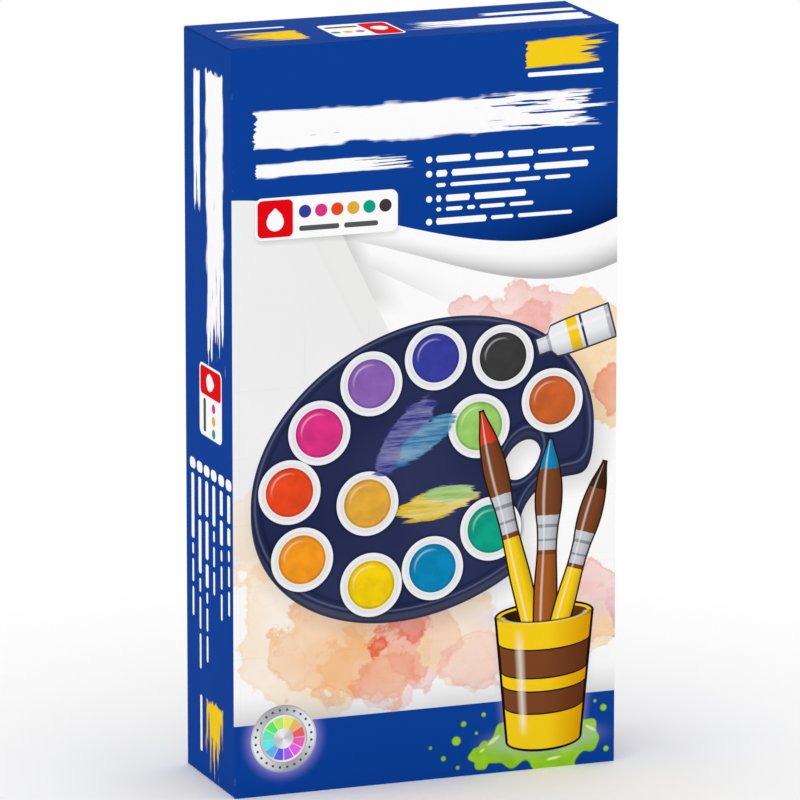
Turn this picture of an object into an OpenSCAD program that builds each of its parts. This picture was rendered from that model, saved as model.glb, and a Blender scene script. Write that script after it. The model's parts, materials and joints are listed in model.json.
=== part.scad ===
// Folding carton for a gouache paint set, closed, with the paint box inside it.
// Origin: middle of the underside. The front faces -Y, +X is to its right, +Z is up.

/* [Carton board] */
// Thickness of the folded board
board_t = 0.5; // [0.3:0.05:0.8]
// Gap between two board pieces at a crease, so that they turn freely
fold_gap = 0.15; // [0.1:0.05:0.3]
// How far the end panels stay back from the carton's outer sides
end_inset = 0.4; // [0.2:0.1:1]

/* [Tuck tabs] */
// Length of a tuck tab, from its crease to its free edge
tab_l = 15; // [11:0.5:17]
// Lean of a tucked tab away from the front panel, in degrees
tab_lean = 16; // [15:1:22]
// Gap between a tab's crease and the front panel
tab_gap = 0.4; // [0.2:0.1:0.8]
// Distance by which each side of a tab is narrower than its end panel
tab_side = 2; // [1:0.5:6]
// Radius of a tab's free corners
tab_r = 8; // [3:0.5:10]

/* [Dust flaps] */
// Length of a dust flap, from its side crease to its free edge
dust_l = 36; // [24:1:48]
// Slope of a dust flap's back edge, in millimetres inwards for each millimetre along the flap
dust_slope = 0.5; // [0.5:0.02:0.6]
// Distance of a dust flap's back edge from the end panel's crease line, at the side crease
dust_back = 1.2; // [1:0.2:3]
// Gap between a dust flap's front edge and the sweep of the tuck tab
dust_front = 1; // [0.6:0.2:3]
// Radius of a dust flap's free corners
dust_r = 5; // [2:0.5:8]

/* [Glue flap] */
// Width of the glue flap
glue_w = 14; // [8:0.5:20]
// Distance of the glue flap's ends from the carton's ends
glue_end = 4; // [3:0.5:10]
// Height of the slanted cut at each end of the glue flap
glue_cut = 5; // [2:0.5:10]

/* [Room in the carton] */
// Gap between the paint box and the board that it rests on
seat_gap = 0.3; // [0.2:0.05:0.6]
// Room at each side of the paint box
side_room = 4.2; // [2:0.1:8]
// Room above the paint box
head_room = 6.7; // [3:0.1:12]
// Room between the paint box and the tip of a tucked tab
tab_room = 1.4; // [1:0.1:5]

/* [Pans] */
// Width of a pan over its rim
pan_w = 32; // [28:0.5:36]
// Radius of the pan rim's corners
pan_r = 9; // [6:0.5:12]
// Thickness of a pan's rim
pan_rim_t = 1.2; // [0.8:0.1:2]
// Depth of a pan below its rim
pan_depth = 10; // [7:0.5:12]
// Width of a pan's ledge, from the rim's edge to the body below it
pan_ledge = 1.5; // [1:0.1:2.5]
// Thickness of a pan's floor
pan_floor = 1.2; // [0.8:0.1:2]
// Space between two pans
pan_space = 4.5; // [3.5:0.5:8]
// Thickness of a pan's wall around its cake, at its thinnest
pan_wall = 1.4; // [1:0.1:2.5]
// Gap between a cake's edge and its pan
cake_gap = 0.1; // [0.05:0.05:0.3]
// Distance of a paint cake's face below the pan's rim
cake_drop = 0.7; // [0.3:0.1:2]

/* [Paint box] */
// Wall of the moulded case, tray and lid
wall = 1.5; // [1.2:0.1:2.2]
// Fit between moulded pieces
fit = 0.3; // [0.2:0.05:0.5]
// Corner radius of the case and the lid
case_r = 9; // [5:0.5:14]
// Distance from the case's edge to the pans, at its hinge side
case_side = 7.5; // [7.5:0.5:12]
// Distance from the case's edge to the pans, at its ends
case_end = 10.75; // [8:0.25:16]
// Height of the case's rim above the insert tray's pans
rim_above = 1.3; // [1:0.1:4]
// Height of the lid
lid_h = 12; // [10:0.5:16]
// Depth of the lid's locating lip in the case
lip_h = 2; // [1:0.5:2.5]
// Thickness of the lid's lip and of the ribs between the mixing wells
rib_t = 1; // [0.8:0.1:2]
// Height of the ribs between the mixing wells
rib_h = 7; // [3:0.5:8]

/* [Insert tray] */
// Distance from a pan's rim to the scalloped edge around it
lobe_margin = 4.8; // [4.6:0.1:5.5]
// Gap between stacked pans
stack_gap = 0.8; // [0.5:0.1:2]

/* [Tube and brush channels] */
// Width of the tube channel
tube_channel_w = 20.5; // [19.5:0.5:26]
// Width of the brush channel
brush_channel_w = 7.8; // [5:0.1:12]
// Distance of the channels from the insert tray and from the case's wall
channel_gap = 1.5; // [1:0.5:6]
// Distance of the channels' ends from the case's ends
channel_end = 8; // [4:0.5:14]

/* [Tube] */
// Outside radius of the paint tube
tube_r = 7.5; // [6:0.1:8.5]
// Length of the tube from its shoulder to its folded end
tube_l = 58; // [45:1:90]
// Width of the tube's folded end
crimp_w = 19; // [17:0.1:19]
// Length of the tube's folded end
crimp_l = 5; // [3:0.5:8]
// Thickness of the tube's folded end
crimp_t = 1.4; // [0.8:0.1:2]
// Length of the cone between tube and neck
shoulder_l = 4; // [2:0.5:6]
// Radius of the tube's neck
neck_r = 4; // [3:0.1:5]
// Length of the tube's neck
neck_l = 9; // [6:0.5:10]
// Outside radius of the tube's cap
cap_r = 6.5; // [6:0.1:7]
// Length of the tube's cap
cap_l = 13; // [12:0.5:16]
// Running gap between neck and cap
neck_fit = 0.1; // [0.05:0.01:0.2]
// Distance of the cap from the end of its channel
cap_end = 1.5; // [1:0.5:6]

/* [Lid hinge] */
// Distance by which the hinge stands out from the case
hinge_out = 4.5; // [4.5:0.1:6]
// Radius of the lid's hinge bars
bar_r = 1.2; // [1:0.05:1.4]
// Running gap between a hinge bar and its clip
bar_fit = 0.1; // [0.05:0.01:0.15]
// Wall of a hinge clip around its bar
clip_wall = 0.75; // [0.6:0.05:1.2]
// Length of a hinge clip
clip_l = 12; // [8:0.5:20]
// Distance of a hinge clip's middle from the case's end
clip_from_end = 45; // [20:1:80]
// Width of the arms that carry a hinge bar
arm_w = 2.5; // [1.5:0.1:4]

/* [Hidden] */
$fn = 48;
ROWS = 6;
COLUMNS = 2;
BLUE = "#104094";
BOARD_GREY = "#e9e7e1";
NAVY = "#1d2444";
WHITE = "#f2f2ef";
SILVER = "#e6e8ea";

// Paint cakes, column by column from the hinge side, each from the bottom end up
CASE_CAKES = [
    ["yellow", "#f3cf10"], ["orange", "#f59a21"], ["vermilion", "#ea4a21"],
    ["magenta", "#dd3585"], ["violet", "#8d63b4"], ["ultramarine", "#3a3f9e"],
    ["cyan_blue", "#0d86b8"], ["teal", "#10a183"], ["light_green", "#9ace6a"],
    ["ochre", "#e5ab3c"], ["burnt_orange", "#cc6430"], ["black", "#3c3c3c"]
];
INSERT_CAKES = [
    ["white", "#f0efe9"], ["lemon_yellow", "#f4e23a"], ["carmine", "#b5202f"],
    ["turquoise", "#2ab3b0"], ["prussian_blue", "#17375f"], ["dark_brown", "#5a3a26"],
    ["petrol_blue", "#0b7898"], ["green", "#129e5f"], ["olive_green", "#a3b554"],
    ["olive_brown", "#7d6c4c"], ["flesh_pink", "#e9c3b4"], ["light_brown", "#c08347"]
];

// Paint box, lying on its base: X across, hinge side at -X, Y from the bottom end up, Z to the lid
pitch = pan_w + pan_space;
lobe_r = pan_w / 2 + lobe_margin;
pans_w = COLUMNS * pitch - pan_space;
channels_w = tube_channel_w + brush_channel_w + 3 * wall;
case_w = case_side + pans_w + lobe_margin + channel_gap + channels_w + channel_gap + wall;
case_l = 2 * case_end + ROWS * pitch - pan_space;
deck_z = wall + fit + pan_depth;
insert_z = deck_z + pan_rim_t + stack_gap + pan_depth;
case_h = insert_z + pan_rim_t + rim_above;
box_w = case_w + hinge_out;
box_t = case_h + lid_h;
first_column_x = -case_w / 2 + case_side + pan_w / 2;
first_row_y = case_end + pan_w / 2;
channels_x = -case_w / 2 + case_side + pans_w + lobe_margin + channel_gap;
brush_x = channels_x + wall;
tube_channel_x = brush_x + brush_channel_w + wall;
channel_l = case_l - 2 * channel_end;
tube_x = tube_channel_x + tube_channel_w / 2;
cap_top_y = case_l - channel_end - wall - cap_end;
neck_y = cap_top_y - cap_l;
shoulder_y = neck_y - shoulder_l;
tube_z = wall + fit / 3 + tube_r;
bar_x = -case_w / 2 - hinge_out + clip_wall + bar_r + bar_fit;
body_w = pan_w - 2 * pan_ledge;
recess_d = body_w - 2 * pan_wall;
cake_d = recess_d - 2 * cake_gap;

// Carton, worked out from what it holds
front_room = board_t + tab_gap + tab_l * sin(tab_lean) + tab_room;
carton_w = 2 * board_t + box_w + 2 * side_room;
carton_d = 2 * board_t + seat_gap + box_t + front_room;
carton_h = 4 * board_t + seat_gap + case_l + head_room;
inner_back_y = carton_d / 2 - board_t;
inner_front_y = -carton_d / 2 + board_t;
tab_crease_y = inner_front_y + tab_gap + board_t;
// Nearest that a tab comes to its end panel's back crease while both turn
tab_sweep = (inner_back_y - tab_crease_y) * cos(tab_lean);
dust_d = tab_sweep - dust_front;

function cake_name(c) = str("cake_", c[0]);

// ---- Carton ----

// Plan of a wide panel, inner face on y = 0, with its outer corners rounded at the creases
module wide_panel_plan() {
    translate([-carton_w / 2 + board_t, -board_t]) square([carton_w - 2 * board_t, board_t]);
    for (side = [-1, 1])
        intersection() {
            translate([side * (carton_w / 2 - board_t), 0]) circle(board_t);
            translate([side * (carton_w / 2 - board_t / 2), -board_t / 2])
                square(board_t, center = true);
        }
}

module wide_panel() {
    translate([0, inner_front_y, 0]) linear_extrude(carton_h) wide_panel_plan();
}

module front_panel() {
    color(BLUE) wide_panel();
}

module back_panel() {
    color(BLUE) mirror([0, 1, 0]) wide_panel();
}

// Side panel at -X, between the wide panels
module side_panel() {
    translate([-carton_w / 2, inner_front_y, board_t])
        cube([board_t, inner_back_y - inner_front_y, carton_h - 2 * board_t]);
}

module left_side_panel() {
    color(BLUE) side_panel();
}

module right_side_panel() {
    color(BLUE) mirror([1, 0, 0]) side_panel();
}

// Flap of the back panel, glued inside the right side panel
module glue_flap() {
    color(BOARD_GREY)
        translate([carton_w / 2 - 2 * board_t, inner_back_y, 0])
            rotate([90, 0, 90])
                linear_extrude(board_t)
                    polygon([
                        [0, glue_end], [-glue_w, glue_end + glue_cut],
                        [-glue_w, carton_h - glue_end - glue_cut], [0, carton_h - glue_end]
                    ]);
}

// Moves a piece of the top end to the bottom end
module at_bottom() {
    translate([0, 0, carton_h]) mirror([0, 0, 1]) children();
}

// Panel that closes an end, creased to the back panel
module end_panel() {
    translate([-carton_w / 2 + end_inset, tab_crease_y, carton_h - board_t])
        cube([
            carton_w - 2 * end_inset, inner_back_y - fold_gap - tab_crease_y, board_t
        ]);
}

// Outline of a tuck tab: crease on y = 0, free edge at y = tab_l
module tab_plan() {
    half = carton_w / 2 - end_inset - tab_side;
    intersection() {
        offset(r = tab_r) offset(delta = -tab_r)
            translate([-half, -tab_l]) square([2 * half, 2 * tab_l]);
        translate([-half, fold_gap]) square([2 * half, tab_l]);
    }
}

// Tab behind the front panel, leaning inwards from the end panel's front crease
module tuck_tab() {
    translate([0, tab_crease_y, carton_h - board_t])
        rotate([tab_lean - 90, 0, 0])
            translate([0, 0, -board_t])
                linear_extrude(board_t) tab_plan();
}

// Outline of a dust flap: side crease on x = 0, end panel's back crease on y = 0
module dust_plan() {
    tip_back = -dust_back - dust_slope * dust_l;
    intersection() {
        offset(r = dust_r) offset(delta = -dust_r)
            polygon([
                [-dust_l, -dust_back + dust_slope * dust_l], [dust_l, tip_back],
                [dust_l, -dust_d], [-dust_l, -dust_d]
            ]);
        translate([fold_gap, -dust_d]) square([dust_l, dust_d - dust_back]);
    }
}

// Dust flap of the -X side, under the end panel
module dust_flap() {
    translate([-carton_w / 2 + board_t, inner_back_y, carton_h - 2 * board_t])
        linear_extrude(board_t) dust_plan();
}

module top_flap() {
    color(BLUE) end_panel();
}

module top_tuck_tab() {
    color(BLUE) tuck_tab();
}

module top_dust_flap_left() {
    color(BOARD_GREY) dust_flap();
}

module top_dust_flap_right() {
    color(BOARD_GREY) mirror([1, 0, 0]) dust_flap();
}

module bottom_flap() {
    color(BLUE) at_bottom() end_panel();
}

module bottom_tuck_tab() {
    color(BLUE) at_bottom() tuck_tab();
}

module bottom_dust_flap_left() {
    color(BOARD_GREY) at_bottom() dust_flap();
}

module bottom_dust_flap_right() {
    color(BOARD_GREY) at_bottom() mirror([1, 0, 0]) dust_flap();
}

// ---- Paint box ----

// Stands the paint box in the carton: base against the back panel, lid to the front
module in_carton() {
    translate([hinge_out / 2, inner_back_y - seat_gap, 2 * board_t + seat_gap])
        rotate([90, 0, 0]) children();
}

// Rectangle with round corners, from y = 0 up
module round_plan(w, l, r) {
    translate([-w / 2 + r, 0]) square([w - 2 * r, l]);
    translate([-w / 2, r]) square([w, l - 2 * r]);
    for (x = [r - w / 2, w / 2 - r], y = [r, l - r]) translate([x, y]) circle(r);
}

// Outline of the case, drawn in by a distance
module case_plan(inset) {
    translate([0, inset]) round_plan(case_w - 2 * inset, case_l - 2 * inset, case_r - inset);
}

// Places a shape at every pan of one tier
module at_pans() {
    for (column = [0:COLUMNS - 1], row = [0:ROWS - 1])
        translate([first_column_x + column * pitch, first_row_y + row * pitch]) children();
}

// Square with round corners about the middle of a pan
module pan_plan(w, r) {
    translate([0, -w / 2]) round_plan(w, w, r);
}

// Well that a pan drops into
module well_plan() {
    pan_plan(body_w + 2 * fit, pan_r - pan_ledge + fit);
}

// Rectangle between two corners of the channels' plan
module channel(x, w) {
    translate([x, channel_end + wall]) square([w, channel_l - 2 * wall]);
}

module case_base() {
    well_out = body_w + 2 * fit + 2 * wall;
    color(NAVY) in_carton() {
        difference() {
            linear_extrude(case_h) case_plan(0);
            translate([0, 0, deck_z]) linear_extrude(case_h) case_plan(wall);
            // Underside, open between the wells
            translate([0, 0, -1])
                linear_extrude(deck_z - wall + 1)
                    difference() {
                        case_plan(wall);
                        at_pans() pan_plan(well_out, pan_r - pan_ledge + fit + wall);
                        translate([channels_x, channel_end]) square([channels_w, channel_l]);
                    }
            translate([0, 0, wall]) linear_extrude(case_h) at_pans() well_plan();
            translate([0, 0, wall])
                linear_extrude(case_h) {
                    channel(brush_x, brush_channel_w);
                    channel(tube_channel_x, tube_channel_w);
                }
        }
        for (y = [clip_from_end, case_l - clip_from_end]) translate([0, y, 0]) hinge_clip();
    }
}

// Clip for a hinge bar, open to the lid side so that the lid comes off
module hinge_clip() {
    clip_h = bar_r + bar_fit + clip_wall;
    mouth = 1.6 * bar_r;
    difference() {
        union() {
            // Block on the case's wall, below its rim
            translate([-case_w / 2 - hinge_out, -clip_l / 2, case_h - 2 * clip_h])
                cube([hinge_out + wall / 2, clip_l, 2 * clip_h]);
            // Jaws, which pass the lid's wall
            translate([-case_w / 2 - hinge_out, -clip_l / 2, case_h - clip_h])
                cube([hinge_out - fit, clip_l, 2 * clip_h]);
        }
        translate([bar_x, 0, case_h])
            rotate([90, 0, 0]) cylinder(r = bar_r + bar_fit, h = clip_l + 2, center = true);
        translate([bar_x - mouth / 2, -clip_l / 2 - 1, case_h])
            cube([mouth, clip_l + 2, clip_h + 1]);
    }
}

// Scalloped outline of the insert tray, drawn in by a distance
module insert_plan(inset) {
    at_pans() circle(lobe_r - inset);
    translate([first_column_x, first_row_y])
        square([(COLUMNS - 1) * pitch, (ROWS - 1) * pitch]);
}

module insert_tray() {
    color(NAVY) in_carton()
        difference() {
            translate([0, 0, deck_z]) linear_extrude(insert_z - deck_z) insert_plan(0);
            translate([0, 0, deck_z - 1])
                linear_extrude(insert_z - deck_z - wall + 1) insert_plan(wall);
            translate([0, 0, deck_z]) linear_extrude(case_h) at_pans() well_plan();
        }
}

// Lid with its wells towards the pans
module mixing_lid() {
    // Ribs across the wide mixing wells and across the narrow ones, as shares of the lid's length
    wide_ribs = [1 / 4, 1 / 2, 3 / 4];
    narrow_rib = 0.62;
    rib_z = case_h + lid_h - wall - rib_h;
    inner_l = case_l - 2 * wall;
    color(WHITE) in_carton() {
        difference() {
            translate([0, 0, case_h]) linear_extrude(lid_h) case_plan(0);
            translate([0, 0, case_h - 1]) linear_extrude(lid_h - wall + 1) case_plan(wall);
        }
        translate([0, 0, case_h - lip_h])
            linear_extrude(lip_h + wall)
                difference() {
                    case_plan(wall + fit);
                    case_plan(wall + fit + rib_t);
                }
        // Joins the lip to the lid's wall, above the case's rim
        translate([0, 0, case_h])
            linear_extrude(wall)
                difference() {
                    case_plan(wall / 2);
                    case_plan(wall + fit + rib_t);
                }
        translate([first_column_x + pitch, wall / 2, rib_z])
            cube([rib_t, case_l - wall, rib_h + wall / 2]);
        for (share = wide_ribs)
            translate([-case_w / 2 + wall / 2, wall + inner_l * share, rib_z])
                cube([first_column_x + pitch + case_w / 2, rib_t, rib_h + wall / 2]);
        translate([first_column_x + pitch, wall + inner_l * narrow_rib, rib_z])
            cube([case_w / 2 - first_column_x - pitch - wall / 2, rib_t, rib_h + wall / 2]);
        for (y = [clip_from_end, case_l - clip_from_end]) translate([0, y, 0]) hinge_bar();
    }
}

// Bar and two arms, on the lid
module hinge_bar() {
    arm_y = clip_l / 2 + fit + arm_w / 2;
    arm_r = bar_r + clip_wall;
    translate([bar_x, 0, case_h])
        rotate([90, 0, 0]) cylinder(r = bar_r, h = 2 * arm_y, center = true);
    for (side = [-1, 1])
        translate([bar_x, side * arm_y, case_h]) {
            rotate([90, 0, 0]) cylinder(r = arm_r, h = arm_w, center = true);
            translate([0, -arm_w / 2, fit])
                cube([-case_w / 2 - bar_x + wall / 2, arm_w, arm_r]);
        }
}

// Twelve pans of one tier, hung by their rims on a deck
module pans(deck) {
    difference() {
        union() {
            translate([0, 0, deck]) linear_extrude(pan_rim_t) at_pans() pan_plan(pan_w, pan_r);
            translate([0, 0, deck - pan_depth])
                linear_extrude(pan_depth) at_pans() pan_plan(body_w, pan_r - pan_ledge);
        }
        translate([0, 0, deck - pan_depth + pan_floor])
            at_pans() cylinder(d = recess_d, h = 2 * pan_depth);
    }
}

module case_pans() {
    color(WHITE) in_carton() pans(deck_z);
}

module insert_pans() {
    color(WHITE) in_carton() pans(insert_z);
}

// One paint cake: its number in its tier, the deck that its pan hangs on, its colour
module paint_cake(index, deck, shade) {
    column = floor(index / ROWS);
    row = index - column * ROWS;
    floor_z = deck - pan_depth + pan_floor;
    color(shade) in_carton()
        translate([first_column_x + column * pitch, first_row_y + row * pitch, floor_z])
            cylinder(d = cake_d, h = deck + pan_rim_t - cake_drop - floor_z);
}

// ---- Tube ----

// Turns a shape's Z axis along the tube, towards its cap
module along_tube(y) {
    translate([tube_x, y, tube_z]) rotate([-90, 0, 0]) children();
}

module tube_body() {
    color(SILVER) in_carton() {
        hull() {
            along_tube(shoulder_y - 1) cylinder(r = tube_r, h = 1);
            translate([tube_x - crimp_w / 2, shoulder_y - tube_l, tube_z - crimp_t / 2])
                cube([crimp_w, 1, crimp_t]);
        }
        translate([tube_x - crimp_w / 2, shoulder_y - tube_l - crimp_l, tube_z - crimp_t / 2])
            cube([crimp_w, crimp_l + 0.5, crimp_t]);
        along_tube(shoulder_y - 0.5) cylinder(r1 = tube_r, r2 = neck_r, h = shoulder_l + 0.5);
        along_tube(neck_y - 0.5) cylinder(r = neck_r, h = neck_l + 0.5);
    }
}

module tube_cap() {
    grooves = 16;
    groove_r = 0.6;
    skirt_h = 1.5;
    color(WHITE) in_carton()
        along_tube(neck_y + fit)
            difference() {
                cylinder(r = cap_r, h = cap_l - fit);
                translate([0, 0, -1]) cylinder(r = neck_r + neck_fit, h = neck_l + fit + 1);
                for (i = [0:grooves - 1])
                    rotate(i * 360 / grooves)
                        translate([cap_r + groove_r / 3, 0, skirt_h])
                            cylinder(r = groove_r, h = cap_l, $fn = 16);
            }
}

front_panel();
back_panel();
left_side_panel();
right_side_panel();
glue_flap();
top_flap();
top_tuck_tab();
top_dust_flap_left();
top_dust_flap_right();
bottom_flap();
bottom_tuck_tab();
bottom_dust_flap_left();
bottom_dust_flap_right();
case_base();
insert_tray();
mixing_lid();
case_pans();
insert_pans();
tube_body();
tube_cap();
for (i = [0:len(CASE_CAKES) - 1])
    paint_cake(i, deck_z, CASE_CAKES[i][1]);
for (i = [0:len(INSERT_CAKES) - 1])
    paint_cake(i, insert_z, INSERT_CAKES[i][1]);
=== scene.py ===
"""Printed folding carton with the gouache paint box that it holds.

Laid out as a Blender add-on and run as a script. Lengths in the settings are in metres.
"""

import json
import math

import bmesh
import bpy
from mathutils import Matrix, Vector


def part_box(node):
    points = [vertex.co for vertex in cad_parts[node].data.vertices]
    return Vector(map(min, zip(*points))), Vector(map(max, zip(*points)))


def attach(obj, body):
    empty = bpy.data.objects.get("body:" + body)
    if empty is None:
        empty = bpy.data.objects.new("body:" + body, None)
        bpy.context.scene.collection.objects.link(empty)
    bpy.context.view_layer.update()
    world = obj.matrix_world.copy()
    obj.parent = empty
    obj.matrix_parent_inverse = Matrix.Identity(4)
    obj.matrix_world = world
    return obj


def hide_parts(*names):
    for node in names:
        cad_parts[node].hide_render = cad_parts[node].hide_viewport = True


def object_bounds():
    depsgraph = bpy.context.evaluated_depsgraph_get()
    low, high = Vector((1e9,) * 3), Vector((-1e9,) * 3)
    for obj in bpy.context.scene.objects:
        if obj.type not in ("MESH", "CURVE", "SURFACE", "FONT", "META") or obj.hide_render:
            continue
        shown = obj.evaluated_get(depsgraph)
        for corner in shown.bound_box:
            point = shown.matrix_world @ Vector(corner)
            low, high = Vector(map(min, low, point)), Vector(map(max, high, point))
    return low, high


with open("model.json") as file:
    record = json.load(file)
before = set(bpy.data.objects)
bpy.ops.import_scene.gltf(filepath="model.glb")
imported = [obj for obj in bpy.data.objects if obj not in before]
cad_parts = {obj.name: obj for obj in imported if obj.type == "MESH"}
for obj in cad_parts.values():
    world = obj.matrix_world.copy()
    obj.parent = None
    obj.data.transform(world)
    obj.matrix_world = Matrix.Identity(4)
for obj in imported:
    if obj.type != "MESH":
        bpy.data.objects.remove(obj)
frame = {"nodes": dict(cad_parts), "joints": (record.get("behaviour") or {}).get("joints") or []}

CAD_BOX = [list(corner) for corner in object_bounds()]

bl_info = {
    "name": "Gouache Paint Set Carton",
    "version": (1, 0, 0),
    "blender": (4, 5, 0),
    "location": "3D View > Sidebar > Paint Set",
    "description": "Builds the carton, its print and the paint box inside it",
    "category": "Add Mesh",
}

MM = 0.001
SAME = 1e-7  # Points nearer than this are one point


def linear(code):
    """Scene-linear colour of a hex code such as #104094."""
    parts = [int(code[i : i + 2], 16) / 255 for i in (1, 3, 5)]
    return tuple(c / 12.92 if c <= 0.04045 else ((c + 0.055) / 1.055) ** 2.4 for c in parts)


# ---- Settings ----


def length(name, description, default, least, most):
    return bpy.props.FloatProperty(
        name=name, description=description, default=default, min=least, max=most,
        precision=5, unit="LENGTH",
    )


def colour(name, description, code):
    return bpy.props.FloatVectorProperty(
        name=name, description=description, default=linear(code), min=0, max=1,
        size=3, subtype="COLOR",
    )


class CartonSettings(bpy.types.PropertyGroup):
    """Board and print of the carton."""

    board: length("Board", "Thickness of the folded board", 0.5 * MM, 0.0003, 0.0008)
    crease: length(
        "Crease radius", "Radius of the board's outer side at a crease", 0.49 * MM, 0.0001, 0.0005
    )
    tab_corner: length(
        "Tab corner", "Radius of a tuck tab's free corners", 8 * MM, 0.003, 0.01
    )
    tab_length: length(
        "Tab length", "Length of a tuck tab, from its crease", 15 * MM, 0.011, 0.017
    )
    tab_lean: bpy.props.FloatProperty(
        name="Tab lean",
        description="Lean of a tucked tab away from the front panel",
        default=math.radians(16),
        min=0.2,
        max=0.4,
        unit="ROTATION",
    )
    dust_corner: length(
        "Dust flap corner", "Radius of a dust flap's free corners", 5 * MM, 0.002, 0.008
    )
    dust_slope: bpy.props.FloatProperty(
        name="Dust flap slope",
        description="Slope of a dust flap's back edge, inwards for each unit along the flap",
        default=0.5,
        min=0.4,
        max=0.6,
    )
    field: colour("Field", "Blue of the printed ground", "#0c4098")
    paper: colour("White", "White of the printed picture area", "#fefefe")
    pale: colour("Pale wash", "Cream of the watercolour washes", "#fadcb2")
    warm: colour("Wash", "Orange of the watercolour washes", "#f6b97e")
    hot: colour("Deep wash", "Red orange of the watercolour washes", "#ea6446")
    rose: colour("Rose wash", "Pink of the watercolour washes", "#f2a79c")
    navy: colour("Palette", "Dark blue of the printed palette", "#20284c")
    red: colour("Label", "Red of the label's square", "#e50914")
    accent: colour("Accent", "Yellow of the brush and of the small dabs", "#f8cf1a")
    puddle: colour("Puddle", "Green of the spilt paint", "#9bd02c")
    ink: colour("Grey", "Grey of the small bars on white", "#57585a")
    raw: colour("Raw board", "Inside and cut edges of the board", "#dedbd3")


class ContentSettings(bpy.types.PropertyGroup):
    """Finish of the paint box, its paints and its tube."""

    case: colour("Case", "Dark blue plastic of the case and the tray", "#1d2444")
    lid: colour("Lid", "White plastic of the lid, the pans and the cap", "#f2f2ef")
    cake_edge: length(
        "Cake edge", "Radius of a paint cake's upper edge", 0.5 * MM, 0.0002, 0.001
    )
    cake_dish: length(
        "Cake dish", "Depth of the pressed dish in a cake's face", 0.35 * MM, 0.0001, 0.0006
    )
    tube: colour("Tube", "White lacquer of the paint tube", "#eceef0")
    metal: colour("Tube metal", "Bare metal at the tube's fold and neck", "#c3c6ca")


class StudioSettings(bpy.types.PropertyGroup):
    """Floor, lamps and camera."""

    floor: colour("Floor", "Plain pale floor", "#fafafa")
    floor_size: length("Floor size", "Side of the square floor", 8.0, 2, 20)
    sky: bpy.props.FloatProperty(
        name="Surround",
        description="Strength of the even light from all around",
        default=0.97,
        min=0,
        max=2,
    )
    key: bpy.props.FloatProperty(
        name="Key lamp",
        description="Power of the large soft lamp at the front left",
        default=1.6,
        min=0,
        max=100,
        unit="POWER",
    )
    lens: bpy.props.FloatProperty(
        name="Lens",
        description="Focal length on a sensor 36 mm wide, in millimetres",
        default=361.5,
        min=20,
        max=500,
    )


# ---- Shader maths ----


class Wire:
    """One output of a node. Arithmetic on it adds Math nodes."""

    def __init__(self, look, socket):
        self.look = look
        self.socket = socket

    def math(self, operation, *terms, clamp=False):
        settings = {"operation": operation, "use_clamp": clamp}
        return self.look.add("ShaderNodeMath", settings, dict(enumerate(terms)))

    def __add__(self, other):
        return self.math("ADD", self, other)

    __radd__ = __add__

    def __sub__(self, other):
        return self.math("SUBTRACT", self, other)

    def __rsub__(self, other):
        return self.math("SUBTRACT", other, self)

    def __mul__(self, other):
        return self.math("MULTIPLY", self, other)

    __rmul__ = __mul__

    def __truediv__(self, other):
        return self.math("DIVIDE", self, other)

    def __neg__(self):
        return self.math("MULTIPLY", self, -1)

    def __abs__(self):
        return self.math("ABSOLUTE", self)

    def __pow__(self, other):
        return self.math("POWER", self, other)

    def least(self, other):
        return self.math("MINIMUM", self, other)

    def most(self, other):
        return self.math("MAXIMUM", self, other)

    def share(self):
        """The value held between 0 and 1."""
        return self.math("ADD", self, 0, clamp=True)

    def ramp(self, start, end):
        """0 at start, 1 at end, held outside them."""
        sockets = {0: self, 1: start, 2: end, 3: 0, 4: 1}
        return self.look.add("ShaderNodeMapRange", {}, sockets)

    def line(self, middle, width):
        """1 at middle, falling to 0 at width from it."""
        return abs(self - middle).ramp(width, 0)

    def sine(self):
        return self.math("SINE", self)

    def whole(self):
        return self.math("FLOOR", self)

    def part(self):
        return self.math("FRACT", self)


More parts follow.
